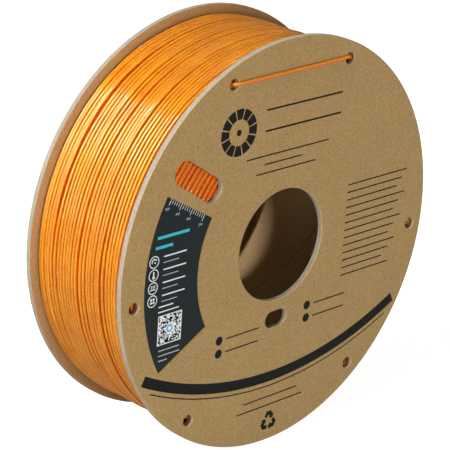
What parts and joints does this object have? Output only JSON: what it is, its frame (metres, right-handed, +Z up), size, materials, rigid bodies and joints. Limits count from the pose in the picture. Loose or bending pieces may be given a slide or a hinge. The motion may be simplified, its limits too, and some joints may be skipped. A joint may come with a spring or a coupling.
{
  "type": "filament spool",
  "caption": "Cardboard filament spool: die-cut flanges glued to a spiral-wound core, wound full of strand whose free end is laced through the front flange.",
  "frame": {"origin": "on the floor, under the middle of the spool's axis, at mid-width", "axes": "+Y along the spool's axis from the printed front flange to the back flange, +X to the right seen from the front, +Z up"},
  "size_m": [0.2, 0.0659, 0.2],
  "materials": {
    "kraft_liner": "matt kraft paper with fine fibres",
    "greyboard": "rough cut grey recycled board",
    "core_paper": "matt spiral-wound paper",
    "glue": "dried white glue",
    "filament": "glossy orange plastic strand",
    "label": "dark printed paper with a satin coat"
  },
  "bodies": {
    "root": {"front_outer_liner": "kraft_liner", "front_flange_board": "greyboard", "front_inner_liner": "kraft_liner", "front_glue_ring": "glue", "back_outer_liner": "kraft_liner", "back_flange_board": "greyboard", "back_inner_liner": "kraft_liner", "back_glue_ring": "glue", "core_inner_ply": "core_paper", "core_tube_body": "greyboard", "core_outer_ply": "core_paper", "filament_inner_layers": "filament", "filament_outer_layer": "filament", "gauge_label": "label"}
  },
  "joints": []
}
